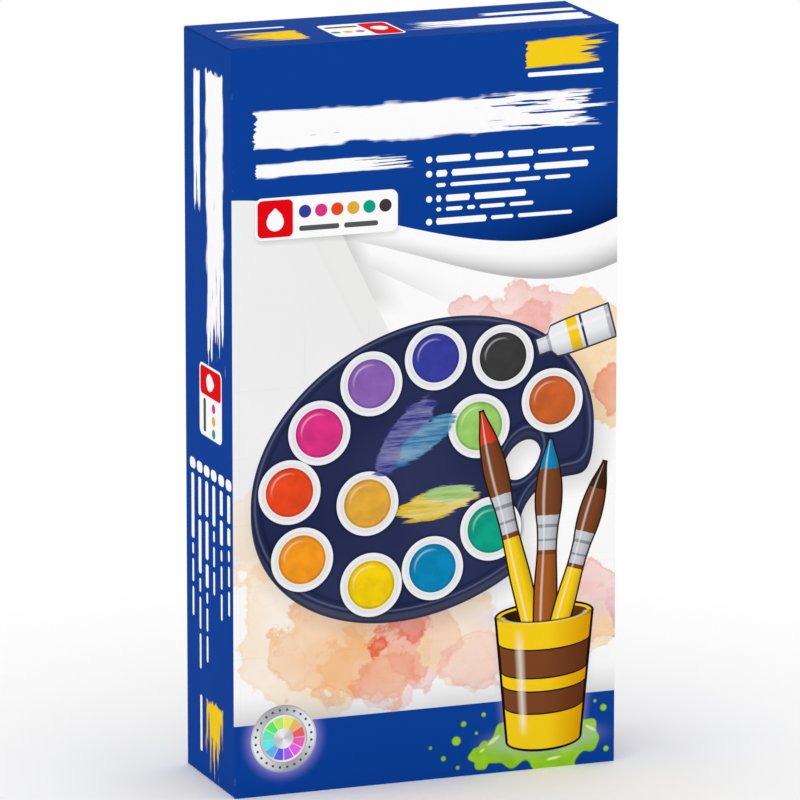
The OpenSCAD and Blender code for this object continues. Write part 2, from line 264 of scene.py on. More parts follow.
class Nodes:
    """A node tree in the making."""

    def __init__(self, tree):
        self.tree = tree

    def add(self, kind, settings, sockets, output=0):
        """Adds a node with its settings, then its sockets' values or links."""
        node = self.tree.nodes.new(kind)
        for key, value in settings.items():
            if key == "stops":
                self.set_stops(node.color_ramp, value)
            else:
                setattr(node, key, value)
        for key, value in sockets.items():
            if isinstance(value, Wire):
                self.tree.links.new(value.socket, node.inputs[key])
            else:
                node.inputs[key].default_value = value
        return Wire(self, node.outputs[output])

    @staticmethod
    def set_stops(ramp, stops):
        """stops are the interpolation, then pairs of place and value."""
        ramp.interpolation = stops[0]
        while len(ramp.elements) < len(stops) - 1:
            ramp.elements.new(1)
        for element, (place, value) in zip(ramp.elements, stops[1:]):
            element.position = place
            number = isinstance(value, (int, float))
            element.color = (value, value, value, 1) if number else Nodes.full(value)

    def vector(self, operation, *terms, output=0):
        return self.add(
            "ShaderNodeVectorMath", {"operation": operation}, dict(enumerate(terms)), output
        )

    def noise(self, place, scale, detail=2, roughness=0.5):
        sockets = {"Vector": place, "Scale": scale, "Detail": detail, "Roughness": roughness}
        return self.add("ShaderNodeTexNoise", {}, sockets)

    def moved(self, place, by, scale):
        return self.add("ShaderNodeMapping", {}, {0: place, 1: by, 3: scale})

    def mix(self, factor, first, second):
        """A colour from first to second."""
        settings = {"data_type": "RGBA"}
        sockets = {0: factor, 6: self.full(first), 7: self.full(second)}
        return self.add("ShaderNodeMix", settings, sockets, 2)

    @staticmethod
    def full(value):
        """A colour given as a wire, a hex code or three numbers."""
        if isinstance(value, Wire):
            return value
        return (*(linear(value) if isinstance(value, str) else tuple(value)[:3]), 1)

    def background_rays(self):
        """1 for what the camera sees directly, in a mirror or through glass."""
        camera = self.add("ShaderNodeLightPath", {}, {}, "Is Camera Ray")
        outputs = camera.socket.node.outputs
        glossy = Wire(self, outputs["Is Glossy Ray"])
        through = Wire(self, outputs["Is Transmission Ray"])
        return camera.most(glossy).most(through)


class Look(Nodes):
    """A material in the making."""

    def __init__(self, name, **constants):
        self.material = bpy.data.materials.new(name)
        self.material.use_nodes = True
        super().__init__(self.material.node_tree)
        self.surface = self.tree.nodes["Principled BSDF"]
        self.place = self.add("ShaderNodeTexCoord", {}, {}, "Object")
        for socket, value in constants.items():
            self.surface.inputs[socket.replace("_", " ")].default_value = value

    def axes(self):
        """Object coordinates in millimetres."""
        node = self.add("ShaderNodeSeparateXYZ", {}, {0: self.place})
        outputs = node.socket.node.outputs
        return [Wire(self, outputs[i]) * 1000 for i in range(3)]

    def feed(self, socket, wire):
        self.tree.links.new(wire.socket, self.surface.inputs[socket])

    def bump(self, height, strength, distance):
        settings = {"Height": height, "Strength": strength, "Distance": distance}
        self.feed("Normal", self.add("ShaderNodeBump", {}, settings))


class Print:
    """Flat artwork on one face of the board, in millimetres, as seen from outside.

    x runs to the right and y up. A distance is negative inside its shape.
    """

    def __init__(self, look, x, y, ground):
        self.look = look
        self.x = x
        self.y = y
        self.at = look.add("ShaderNodeCombineXYZ", {}, {0: x, 1: y, 2: 0})
        self.colour = look.full(ground)

    def local(self, centre, turn=0, size=(1, 1)):
        sockets = {0: self.at, 1: (*centre, 0), 2: (0, 0, math.radians(turn)), 3: (*size, 1)}
        return self.look.add("ShaderNodeMapping", {"vector_type": "TEXTURE"}, sockets)

    def split(self, place):
        outputs = self.look.add("ShaderNodeSeparateXYZ", {}, {0: place}).socket.node.outputs
        return Wire(self.look, outputs[0]), Wire(self.look, outputs[1])

    def disc(self, centre, radius):
        centre = (*centre, 0)
        return self.look.vector("DISTANCE", self.at, centre, output="Value") - radius

    def oval(self, centre, radii, turn=0):
        place = self.local(centre, turn, radii)
        return (self.look.vector("LENGTH", place, output="Value") - 1) * min(radii)

    def slab(self, centre, size, corner=0.1, turn=0):
        """Rectangle with round corners."""
        half = (size[0] / 2 - corner, size[1] / 2 - corner, 0)
        place = self.local(centre, turn)
        place = self.look.vector("SUBTRACT", self.look.vector("ABSOLUTE", place), half)
        place = self.look.vector("MAXIMUM", place, (0, 0, 0))
        return self.look.vector("LENGTH", place, output="Value") - corner

    def mask(self, distance, soft=0.08):
        return distance.ramp(soft / 2, -soft / 2)

    def lay(self, mask, ink):
        self.colour = self.look.mix(mask, self.colour, ink)

    def paint(self, distance, ink, soft=0.08, strength=1):
        mask = self.mask(distance, soft)
        self.lay(mask if strength == 1 else mask * strength, ink)

    def together(self, distances):
        """Joins shapes. Each is made only when its turn comes, so few values are held at once."""
        joined = None
        for distance in distances:
            joined = joined.least(distance) if joined else distance
        return joined

    def row(self, along, across, words, height):
        """A row of bars with round ends. words give start, end and share of the height."""
        start, end = words[0][0] - 1, words[-1][1] + 1
        rounding, margin = 0.5, 0.1
        stops = ["LINEAR", (0, 0)]
        for a, b, full in words:
            levels = ((a, 0), (a + rounding, full), (b - rounding, full), (b, 0))
            stops += [((at - start) / (end - start), level) for at, level in levels]
        half = self.look.add("ShaderNodeValToRGB", {"stops": stops}, {0: along.ramp(start, end)})
        return abs(across) - (half * (height / 2 + margin) - margin)

    def dry_stroke(self, start, end, width, ink, seed=0.0):
        """A stroke of a dry flat brush, full at its start and streaky at its end."""
        look = self.look
        across = Vector(end) - Vector(start)
        turn = math.degrees(math.atan2(across.y, across.x))
        place = self.local(start, turn)
        a, b = self.split(place)
        a = a / across.length
        b = b / (width / 2)
        drawn_out = (0.03, 2.2 / math.sqrt(width), 1)
        streaks = look.noise(look.moved(place, (seed, seed * 3, 0), drawn_out), 1, 3, 0.6)
        wave = look.noise(look.moved(place, (seed, 0, 0), (0.09, 0.09, 1)), 1, 2)
        side = 1 - abs(b + (wave - 0.5) * 0.5) + (streaks - 0.5) * 0.5
        head = a * across.length / width * 5 + (streaks - 0.5) * 2.2
        tail = (1 - a) * across.length / width * 1.1 + (streaks - 0.62) * 4.5
        dryness = (streaks - 0.30 - a.ramp(0.45, 1.1) * 0.26) * 16
        mask = side.least(head).least(tail).least(dryness + 0.4)
        self.lay((mask * 7).share(), ink)

    def wash(self, centre, radii, turn, ink, strength, seed):
        """A watercolour stain: a wandering outline, a darker rim, uneven pigment."""
        look = self.look
        moved = look.moved(self.at, (seed * 31, seed * 17, seed), (1, 1, 1))
        wander = look.noise(moved, 0.05, 6, 0.55)
        cloud = look.noise(moved, 0.028, 4, 0.6)
        edge = self.oval(centre, radii, turn) + (wander - 0.5) * 34
        rim = edge.line(-0.7, 1.1)
        tide = wander.line(0.46, 0.014)
        body = self.mask(edge, 0.8)
        density = body * (0.22 + cloud.ramp(0.3, 0.7) * 0.68 + tide * 0.14) + rim * 0.22
        self.lay((density * strength).share(), ink)


# ---- Artwork ----

CASE_PAINTS = {
    "yellow": "#f3cf10",
    "orange": "#f59a21",
    "vermilion": "#ea4a21",
    "magenta": "#dd3585",
    "violet": "#8d63b4",
    "ultramarine": "#3a3f9e",
    "cyan_blue": "#0d86b8",
    "teal": "#10a183",
    "light_green": "#9ace6a",
    "ochre": "#e5ab3c",
    "burnt_orange": "#cc6430",
    "black": "#3c3c3c",
}
INSERT_PAINTS = {
    "white": "#f0efe9",
    "lemon_yellow": "#f4e23a",
    "carmine": "#b5202f",
    "turquoise": "#2ab3b0",
    "prussian_blue": "#17375f",
    "dark_brown": "#5a3a26",
    "petrol_blue": "#0b7898",
    "green": "#129e5f",
    "olive_green": "#a3b554",
    "olive_brown": "#7d6c4c",
    "flesh_pink": "#e9c3b4",
    "light_brown": "#c08347",
}

# Watercolour stains: centre, radii, turn, ink, strength
WASHES = [
    ((-44, 50), (23, 27), 10, "pale", 1.0),
    ((-24, 48), (28, 19), 8, "warm", 1.0),
    ((-22, 38), (17, 12), -10, "warm", 0.9),
    ((-6, 46), (14, 15), 30, "rose", 0.9),
    ((-12, 36), (8, 9), 40, "hot", 0.5),
    ((-5, 51), (11, 7), -12, "hot", 1.2),
    ((14, 46), (15, 15), 0, "pale", 1.0),
    ((18, 40), (10, 9), 20, "rose", 0.8),
    ((60, 58), (12, 13), 0, "hot", 0.9),
    ((54, 46), (13, 10), 0, "pale", 1.0),
    ((22, 152), (17, 9), -8, "rose", 1.0),
    ((40, 149), (18, 13), 12, "rose", 0.7),
    ((57, 138), (15, 24), 10, "pale", 1.2),
    ((62, 126), (9, 12), 0, "hot", 0.7),
    ((-50, 96), (12, 30), -30, "pale", 0.8),
]

# Stains higher than this reach the folds of paper
WASHES_TO_FOLD = 130

# Dabs on the palette: place in the palette's own axes, paint
DABS = [
    ((48, 0), "burnt_orange"),
    ((38, 21), "black"),
    ((17, 31), "ultramarine"),
    ((-6, 33), "violet"),
    ((-28, 26), "magenta"),
    ((-44.5, 12.5), "vermilion"),
    ((-49, -10), "orange"),
    ((-31, -28.5), "yellow"),
    ((-10, -33), "cyan_blue"),
    ((13, -30), "teal"),
    ((22, 3.5), "light_green"),
    ((-22, -3), "ochre"),
]


# Size, width of the red block, radius of a dot, paints of the dots,
# bars as middle and length, thickness of a bar
LONG_LABEL = (
    (48.4, 13.7), 12, 2.1, ("ultramarine", "magenta", "vermilion", "ochre", "teal", "black"),
    ((-2.5, 13.6), (11.7, 11.5)), 1.7,
)
SHORT_LABEL = ((23.8, 21.4), 9.4, 1.6, ("magenta", "ochre", "teal"), ((5, 11),), 2.4)


def label(p, centre, turn, s, kind):
    """White label with a red block, a white drop on it, and a row of paint dots."""
    (wide, high), block, radius, paints, bars, bar = kind
    margin = 0.8

    def at(x, y):
        rotated = Matrix.Rotation(math.radians(turn), 2) @ Vector((x, y))
        return (centre[0] + rotated.x, centre[1] + rotated.y)

    if kind is LONG_LABEL:
        p.paint(p.slab(at(0.4, -0.9), (wide, high), 2.6, turn), (0.06, 0.06, 0.08), 2.4, 0.3)
    p.paint(p.slab(at(0, 0), (wide, high), 2.4, turn), s.paper)
    middle = margin + block / 2 - wide / 2
    p.paint(p.slab(at(middle, 0), (block, high - 2 * margin), 1.7, turn), s.red)
    drop = p.disc(at(middle, -1.1), 2.9)
    tip = p.slab(at(middle, 1.1), (3.4, 3.4), 0.3, turn + 45)
    p.paint(drop.math("SMOOTH_MIN", drop, tip, 0.8), s.paper)
    first = margin + block - wide / 2 + radius * 1.95
    for i, name in enumerate(paints):
        place = at(first + 2.6 * radius * i, high * 0.13)
        p.paint(p.disc(place, radius), CASE_PAINTS[name])
    p.paint(p.together(p.slab(at(x, high * -0.27), (w, bar), 0.7, turn) for x, w in bars), s.ink)


def picture_ground(p, s):
    """White picture area under a curved edge, with two soft folds of paper over a sheet."""
    # Heights of the curved edge and of both folds across the panel
    d = p.x - 41
    edge = d * (d * (d * 0.0000345 + 0.00594) + 0.0532) + 176.4
    d = p.x - 44
    fold_1 = d * (d * (d * 0.0000553 + 0.00729) - 0.0104) + 163.2
    fold_2 = 161.4 - p.x * (p.x * 0.0013 + 0.538)
    # The blue deepens towards the curved edge
    deep = (p.y - edge).ramp(26, 0) * p.x.ramp(-30, 45)
    p.lay(deep * deep * 0.95, (0.001, 0.012, 0.085))
    white = p.mask(p.y - edge)
    p.lay(white, s.paper)
    sheet = paper_sheets(p, white)
    beside = p.mask(-sheet, 0.3) * white
    under_fold = p.mask(p.y - fold_1)
    for number, wash in enumerate(WASHES):
        if wash[0][1] > WASHES_TO_FOLD:
            p.wash(*wash[:3], getattr(s, wash[3]), under_fold * wash[4], number + 1)
    # Each fold is shaded towards its lower edge, and where it slips under the sheet
    grey = (0.46, 0.46, 0.46)
    depth = (edge - p.y) / (edge - fold_1)
    shade = (depth.ramp(0.36, 0.95) ** 1.4) * (p.x.ramp(-24, 34) * 0.62 + 0.38)
    shade = shade.most(p.x.ramp(-17, -30) * 0.75)
    p.lay(shade * p.mask(fold_1 - p.y) * beside, grey)
    fade = p.y.ramp(155, 162)
    depth = (fold_1 - p.y) / (fold_1 - fold_2)
    shade = depth.ramp(0.35, 1) * (p.x.ramp(10, -25) * 0.3 + 0.12)
    shade = shade.most(sheet.ramp(6, 0) * 0.62)
    p.lay(shade * under_fold * p.mask(fold_2 - p.y) * fade * beside, grey)
    shade = sheet.ramp(9, 0) * 0.5
    p.lay(shade * p.mask(p.y - fold_2) * fade * beside, grey)


def paper_sheets(p, white=1):
    """Two sheets of drawing paper. Gives the distance to the lower sheet's edge."""
    under = p.slab((-58.3, 152), (80, 130), 0.6, 26)
    upper = p.slab((-67, 153), (76, 124), 0.6, 27.5)
    p.lay(p.mask(under, 5) * white * p.y.ramp(160, 120) * 0.2, (0.3, 0.3, 0.32))
    p.lay(p.mask(under, 0.3) * white, (0.85, 0.85, 0.84))
    p.lay(p.mask(upper, 4) * p.mask(under) * white * 0.06, (0.3, 0.3, 0.32))
    cloud = p.look.noise(p.at, 0.02, 2).ramp(0.35, 0.65)
    tone = p.look.mix(cloud, (0.86, 0.86, 0.86), (0.9, 0.89, 0.895))
    p.lay(p.mask(upper, 0.3) * white, tone)
    return under


def palette(p, s):
    """Dark blue painter's palette with dabs of paint in white wells."""
    look = p.look
    middle, turn, radii = (-1, 105), 22, (61, 46)

    def shape(offset, grow):
        x, y = middle[0] + offset[0], middle[1] + offset[1]
        body = p.oval((x, y), radii, turn)
        bite = p.disc((x + 50, y - 22), 17)
        thumb = p.oval((x + 34, y + 0.5), (8.5, 5.8), 60)
        body = body.math("SMOOTH_MAX", body, -bite, 9)
        return body.most(-thumb) - grow

    p.paint(shape((2.5, -5), 0), (0.12, 0.09, 0.09), 9, 0.38)
    side = shape((0, -2.8), 0)
    sheen = look.noise(p.at, 0.018, 2).ramp(0.35, 0.7)
    tone = look.mix(p.x.ramp(-60, 60), (0.052, 0.062, 0.12), (0.018, 0.022, 0.06))
    p.paint(side, look.mix(sheen * 0.6, tone, (0.09, 0.10, 0.15)))
    p.lay(side.line(-0.5, 0.5) * 0.6, (0.008, 0.010, 0.022))
    top = shape((0, 0), 0)
    p.paint(top, look.mix(sheen, s.navy, (0.034, 0.042, 0.115)))
    lip = top.line(-1.1, 0.45)
    p.lay(lip * 0.55, (0.16, 0.18, 0.28))
    groove = top.line(-2.6, 0.9)
    p.lay(groove * 0.5, (0.006, 0.008, 0.026))

    # White wells, each with a dab of paint
    cup, hollow, dab = 10.6, 8.8, 8.1
    rotation = Matrix.Rotation(math.radians(turn), 2)
    places = [Vector(middle) + rotation @ Vector(place) for place, name in DABS]
    near = p.together(p.disc(tuple(place), 0) for place in places)
    p.paint(near - (cup + 0.5), (0.004, 0.005, 0.02), 1.6, 0.7)
    p.paint(near - cup, (0.86, 0.87, 0.88))
    p.paint(near - (hollow + 0.2), (0.55, 0.56, 0.6), 1.2)
    p.paint(near - hollow, (0.9, 0.9, 0.91), 1.2)
    grain = look.noise(p.at, 0.16, 3).ramp(0.35, 0.65)
    for place, (own_place, name) in zip(places, DABS):
        base = Vector(linear(CASE_PAINTS[name]))
        p.paint(p.disc(tuple(place), dab), look.mix(grain, base * 0.86, base * 1.08))
    p.lay(near.line(dab - 0.5, 0.5) * 0.35, (0.02, 0.02, 0.03))
    # Gloss: a short crescent at the upper left of each dab
    lit = p.together(p.disc((place.x - 1.6, place.y + 1.8), 4.6) for place in places)
    crescent = near.line(6.2, 0.5) * p.mask(lit, 1.5)
    p.lay(crescent * 0.4, (1, 1, 1))

    # Mixed paint smeared over the middle of the palette
    smears = (
        ((-2, 12), (15, 5.2), 30, "ultramarine", 0.9),
        ((4, 8), (12, 4), 14, "cyan_blue", 0.9),
        ((0, -14), (14, 4.4), -12, "yellow", 0.95),
        ((5, -13), (9, 3.2), -22, "light_green", 0.9),
    )
    grit = look.noise(look.moved(p.at, (0, 0, 0), (0.05, 0.5, 1)), 1, 4, 0.65)
    for place, radii, lean, name, strength in smears:
        place = Vector(middle) + rotation @ Vector(place)
        gap = p.oval(tuple(place), radii, turn + lean) + (grit - 0.5) * 5
        base = Vector(linear(CASE_PAINTS[name]))
        tone = look.mix(grit.ramp(0.4, 0.62), base * 0.8, base * 0.7 + Vector((0.25, 0.25, 0.25)))
        p.lay(p.mask(gap, 0.5) * strength, tone)


def long_figure(p, start, end, width, profile, inks, outline):
    """A slim thing drawn along a line.

    profile gives its half width and inks its colours, from 0 to 1 along it.
    """
    look = p.look
    along = Vector(end) - Vector(start)
    x, y = p.split(p.local(start, math.degrees(math.atan2(along.y, along.x))))
    share = x / along.length
    stops = {"stops": ["B_SPLINE", *profile]}
    half = look.add("ShaderNodeValToRGB", stops, {0: share.share()}) * (width / 2)
    gap = (abs(y) - half).most(-x).most(x - along.length)
    p.paint(gap - 0.6, outline, 0.12)
    fray = (look.noise(p.at, 0.5, 2) - 0.5) * 0.03
    stops = {"stops": ["CONSTANT", *inks]}
    p.paint(gap, look.add("ShaderNodeValToRGB", stops, {0: share + fray * share.ramp(0.7, 0.9)}))
    across = y / (half + 0.1)
    light = across.line(0.38, 0.18) * p.mask(gap + 0.3)
    p.lay(light * 0.5, (1, 0.98, 0.92))
    p.lay(across.ramp(-0.2, -1) * p.mask(gap) * 0.42, outline)


BRUSH_PROFILE = (
    (0, 0.5), (0.45, 0.95), (0.6, 0.6), (0.7, 0.72), (0.76, 0.95), (0.84, 1), (0.93, 0.62), (1, 0),
)
TUBE_PROFILE = (
    (0, 0.45), (0.13, 0.45), (0.17, 0.5), (0.22, 0.98), (0.6, 1), (0.96, 1.05), (1, 1.05),
)


def brush(p, foot, tip, width, handle, paint):
    """Paint brush: handle, silver ferrule with grooves, brown hair dipped in paint."""
    dark, brown = "#2c1a10", "#7b4526"
    silver, groove = "#c7cad0", "#8f939b"
    inks = (
        (0, handle), (0.6, brown), (0.615, silver), (0.645, groove), (0.655, silver),
        (0.695, groove), (0.705, silver), (0.735, brown), (0.9, paint),
    )
    long_figure(p, foot, tip, width, BRUSH_PROFILE, inks, dark)


def puddle(p, s):
    """Puddle of spilt green paint with a lobed edge, and round drops beside it."""
    look = p.look
    # Blots that run together: centre, radius, turn of the lobes
    blots = (
        ((29, 9), 7.6, 0.3), ((42, 6.5), 8.2, 1.9), ((54.5, 9.5), 6.2, 4.1),
        ((19.5, 6), 4.4, 2.2), ((48, 2.5), 5.0, 5.0),
    )
    pool = None
    for centre, radius, start in blots:
        place = p.local(centre)
        x, y = p.split(place)
        angle = y.math("ARCTAN2", y, x)
        lobes = (angle * 4 + start).sine() * 0.6 + (angle * 7 - start).sine() * 0.3
        blot = look.vector("LENGTH", place, output="Value") - lobes - radius
        pool = pool.math("SMOOTH_MIN", pool, blot, 3.5) if pool else blot
    spots = (
        ((10.5, 12), 1.7), ((6, 6.5), 1.0), ((13, 17.5), 1.1), ((17.5, 14), 0.7), ((20, 20), 0.9),
        ((62, 18.5), 1.3), ((63, 4.5), 1.1), ((59, 21), 0.7), ((1.5, 10.5), 0.7), ((11, 3), 0.8),
    )
    drops = p.together(p.disc(place, radius) for place, radius in spots)
    green = pool.least(drops)
    tone = look.noise(p.at, 0.12, 2).ramp(0.4, 0.6)
    p.paint(green + 0.1, "#6fa31a", 0.3)
    p.paint(green + 0.35, look.mix(tone, s.puddle, "#8cc322"), 0.4)
    glints = (
        ((23.5, 11), (2.4, 0.6), 35), ((19.5, 8), (0.9, 0.4), 30),
        ((57.5, 12), (2, 0.55), -30), ((44.5, 3), (2.4, 0.5), 8),
    )
    shine = p.together(p.oval(*glint) for glint in glints)
    p.paint(shine, "#e6f5ac", 0.3, 0.85)


def brush_pot(p, s, with_brushes):
    """Yellow pot of brushes standing in the puddle."""
    look = p.look
    foot, height, low_half, high_half, round_off = (41, 10), 42, 12.5, 16.5, 3.4
    mouth = (foot[0], foot[1] + height)
    x, y = p.split(p.local(foot))
    half = low_half + y * ((high_half - low_half) / height)

    def shape(grow):
        sides = (abs(x) - half - grow).most(y - height).most(-y)
        base = p.oval(foot, (low_half + grow, round_off + grow))
        rim = p.oval(mouth, (high_half + grow, round_off + grow))
        return sides.least(base).least(rim)

    dark, brown, deep = "#1c120b", "#7b4526", "#d89600"
    outside = shape(0)
    p.lay(outside.ramp(4, 0) ** 2 * 0.4, "#c3bdf2")
    p.paint(shape(0.9), dark)
    p.paint(outside, s.accent)
    opening = p.oval(mouth, (high_half - 1.4, round_off - 0.8))
    p.paint(opening, look.mix(x.ramp(-14, 14), "#2a180c", "#5d3518"))
    if with_brushes:
        brush(p, (45, 14), (19, 121), 8.0, s.accent, "#d8402a")
        brush(p, (40, 14), (43, 110), 9.0, "#a65a22", "#0d86b8")
        brush(p, (36, 14), (62, 101), 7.6, s.accent, "#3f2413")
    front = outside.most(-opening).most(y - height)
    across = x / (half + 0.1)
    p.paint(front, look.mix(across.ramp(0.1, 1.0), s.accent, deep))
    p.lay(opening.line(0, 0.5) * p.mask(y - height), dark)
    bend = (1 - (across * across).share()) ** 0.5 * round_off
    for low, high in ((12, 19), (24, 33)):
        band = (low - bend - y).most(y + bend - high).most(front + 0.1)
        p.paint(band - 0.5, dark)
        p.paint(band, look.mix(across.ramp(0, 1.0), brown, "#5d3018"))
    light = across.line(-0.55, 0.13) * p.mask(front + 1.2) * (y.ramp(1, 6) * y.ramp(38, 30))
    p.lay(light * 0.65, (1, 0.98, 0.85))
    lip = p.oval(mouth, (high_half, round_off)).line(-0.35, 0.3) * p.mask(y - height)
    p.lay(lip * 0.7, "#fff0a0")


def printed_tube(p, s):
    """Plain white paint tube with a coloured band, drawn from its cap to its fold."""
    dark, white = "#3b3f4c", "#eef0f2"
    inks = (
        (0, "#d9dce2"), (0.13, "#a9adb8"), (0.17, white), (0.42, s.accent),
        (0.56, white), (0.6, "#26356f"), (0.63, white), (0.94, "#b9bdc6"),
    )
    long_figure(p, (38.5, 141), (64, 148), 11.0, TUBE_PROFILE, inks, dark)


def seal(p, s, glowing):
    """Silver round seal with a colour wheel. It glows where it lies on the blue."""
    centre, radius = (-49.2, 18.6), 11.2
    dots, sectors = 24, 12
    look = p.look
    place = p.local(centre)
    x, y = p.split(place)
    far = p.disc(centre, 0)
    if glowing:
        glow = (1 - (far - radius).ramp(0, 4.5)) ** 2
        p.lay(glow * 0.62, "#9a90e6")
    angle = y.math("ARCTAN2", y, x)
    brushed = (angle * 2 + 0.9).sine() * 0.5 + 0.5
    silver = look.mix(brushed, "#a9abae", "#eff0f1")
    p.paint(far - radius, silver)
    p.lay(far.line(radius - 0.25, 0.3) * 0.6, "#85888c")
    spoke = (angle * (dots / math.tau)).part() - 0.5
    from_dot = look.add("ShaderNodeCombineXYZ", {}, {0: spoke * 2.5, 1: far - (radius - 1.6)})
    p.paint(look.vector("LENGTH", from_dot, output="Value") - 0.42, "#4a4b4e")
    inner = radius - 3.2
    p.paint(far - inner, look.mix(brushed, "#f4f4f5", "#c4c6c9"))
    p.lay(far.line(inner, 0.2) * 0.8, "#8a8c90")
    sector = (angle * (sectors / math.tau)).whole() / sectors
    hue = look.add("ShaderNodeCombineColor", {"mode": "HSV"}, {0: sector.part(), 1: 0.86, 2: 0.88})
    ring = abs(far - (inner - 2.7)) - 1.9
    gaps = 0.5 - abs((angle * (sectors / math.tau)).part() - 0.5)
    p.lay(p.mask(ring) * gaps.ramp(0.03, 0.06), hue)


# Heights at which the front print is split, clear of the titles and the palette
BAND_TOP, PICTURE_TOP = 24, 154.5


def band_print(p, s):
    """Front panel below the picture: blue band with the puddle, the pot's foot and the seal."""
    puddle(p, s)
    brush_pot(p, s, False)
    seal(p, s, True)


def picture_print(p, s):
    """Picture on the front panel: washes, palette, tube and pot of brushes."""
    p.colour = p.look.full(s.paper)
    paper_sheets(p)
    for number, wash in enumerate(WASHES):
        p.wash(*wash[:3], getattr(s, wash[3]), wash[4], number + 1)
    # Faint squares ruled on the drawing paper, and grey towards the band
    square = 22
    rules = p.together(abs((axis / square + 0.4).part() - 0.5) * square for axis in (p.x, p.y))
    p.lay(p.mask(rules - 0.1, 0.35) * 0.08, (0.3, 0.32, 0.36))
    haze = p.y.ramp(35, 24) ** 1.5 * (p.look.noise(p.at, 0.02, 1).ramp(0.3, 0.6) * 0.6 + 0.4)
    p.lay(haze * 0.72, (0.5, 0.51, 0.53))
    palette(p, s)
    printed_tube(p, s)
    brush_pot(p, s, True)
    seal(p, s, False)


def title_print(p, s):
    """Front panel above the picture: title strokes, bars and a label over two white folds."""
    picture_ground(p, s)
    label(p, (-34.1, 189.6), 0, s, LONG_LABEL)
    p.dry_stroke((-58.5, 218.3), (62, 218.7), 12.6, s.paper, 1.7)
    p.dry_stroke((-58, 205.2), (-4.5, 205.5), 4.8, s.paper, 5.1)
    p.dry_stroke((34, 237.2), (62, 237.6), 9.4, s.accent, 8.3)
    p.paint(p.slab((47.6, 230.4), (26, 1.4), 0.5), s.paper)
    # Height of a row, its words in bold and in thin
    rows = (
        (205.1, (12, 10, 9), (10.5, 8)), (200.4, (4, 27, 19), ()), (196.6, (), (3.5, 21, 9, 9)),
        (192.2, (2, 8.5, 18), ()), (188.7, (), (2, 6, 3, 9, 8.5)), (184.8, (17.5,), (8, 19)),
    )
    bars = (p.row(p.x, p.y - y, words(3.1, bold, thin), 2.1) for y, bold, thin in rows)
    p.paint(p.together(bars), s.paper)
    p.paint(p.together(p.disc((0.8, y), 1.05) for y in (205.1, 200.4, 192.2, 184.8)), s.paper)


def words(start, bold, thin):
    """Words for a row: the lengths of the bold ones, then of the thin ones."""
    gap, thin_share = 1.3, 0.62
    found = []
    for size, share in [*((size, 1) for size in bold), *((size, thin_share) for size in thin)]:
        found.append((start, start + size, share))
        start += size + gap
    return found


def side_print(p, s):
    """Side panel: x from -23 to 23, y from 0 to 245, read from the top down."""
    p.dry_stroke((6.4, 234.5), (6.5, 141), 17, s.paper, 2.9)
    p.dry_stroke((-10.6, 233), (-10.6, 187), 6.2, s.paper, 6.4)
    label(p, (1.6, 126.2), -90, s, SHORT_LABEL)
    # Place across the panel, words in bold and in thin down the panel
    lines = (
        (-16.2, (22,), (4, 8, 10)), (-9.4, (13, 18), (5, 11, 12)), (-2.6, (12, 13, 8), (4, 8, 9)),
        (4.2, (13.6,), (4, 7, 8)), (11.4, (8.5, 8.5), (4, 8, 9)), (18.5, (9.5, 6), (4, 7, 8.4)),
    )
    bars = (p.row(-p.y, p.x - x, words(-99.6, bold, thin), 2.7) for x, bold, thin in lines)
    p.paint(p.together(bars), s.paper)
    p.paint(p.together(p.slab((line[0], 102.8), (5.4, 3.6), 1.7) for line in lines), s.paper)
    p.dry_stroke((3.8, 26.6), (3.8, 4.6), 16.4, s.accent, 9.2)
    p.paint(p.slab((-9, 17.4), (1.9, 18.8), 0.6), s.paper)


def top_print(p, s):
    """End panel: x from -66 to 66, y from -23 at the front to 23, read from the back."""
    p.dry_stroke((62.5, -4), (0.5, -3.8), 11.6, s.paper, 3.6)
    p.dry_stroke((63, 8.3), (29, 8.3), 4.8, s.paper, 7.7)
    label(p, (-14.8, -3), 180, s, SHORT_LABEL)
    p.dry_stroke((-35.5, -5), (-61, -5), 15.6, s.accent, 1.1)
    p.paint(p.slab((-48, 9.8), (23, 1.9), 0.6), s.paper)


def chart_print(p, s):
    """Back panel: x from -66 to 66, y from 0 to 245, with a chart of the paints."""
    look = p.look
    p.paint(p.slab((0, 120), (116, 168), 5), s.paper)
    columns, rows, step, foot = 4, 6, (26, 24), 48
    size = (columns * step[0], rows * step[1])
    across = p.x / step[0] + columns / 2
    up = (p.y - foot) / step[1]
    cell = across.whole() + up.whole() * columns
    u, v = across.part() - 0.5, up.part() - 0.5
    paints = [*CASE_PAINTS.values(), *INSERT_PAINTS.values()]
    count = len(paints)
    stops = ["CONSTANT"] + [((i + 0.01) / count, paint) for i, paint in enumerate(paints)]
    ink = look.add("ShaderNodeValToRGB", {"stops": stops}, {0: (cell + 0.5) / count})
    place = look.add("ShaderNodeCombineXYZ", {}, {0: u * step[0], 1: v * step[1] - 2, 2: 0})
    far = look.vector("LENGTH", place, output="Value")
    inside = p.mask(p.slab((0, foot + size[1] / 2), size, 0.5))
    grain = look.noise(p.at, 0.1, 4)
    far = far + (grain - 0.5) * 2.2
    p.lay(p.mask(far - 8.2) * inside, ink)
    p.lay(far.line(7.4, 0.6) * inside * 0.25, (0.05, 0.05, 0.06))
    bar = abs(v * step[1] + 9.4) - 0.55
    p.lay(p.mask(bar) * p.mask(abs(u * step[0]) - 6) * inside, s.ink)
    p.dry_stroke((-50, 225), (30, 226), 10, s.paper, 4.4)
    p.dry_stroke((-50, 17), (-30, 17), 7, s.accent, 3.3)
    for y, end in ((22, 50), (18, 40), (14, 46)):
        p.paint(p.row(p.x, p.y - y, ((-14, end, 1),), 1.3), s.paper)


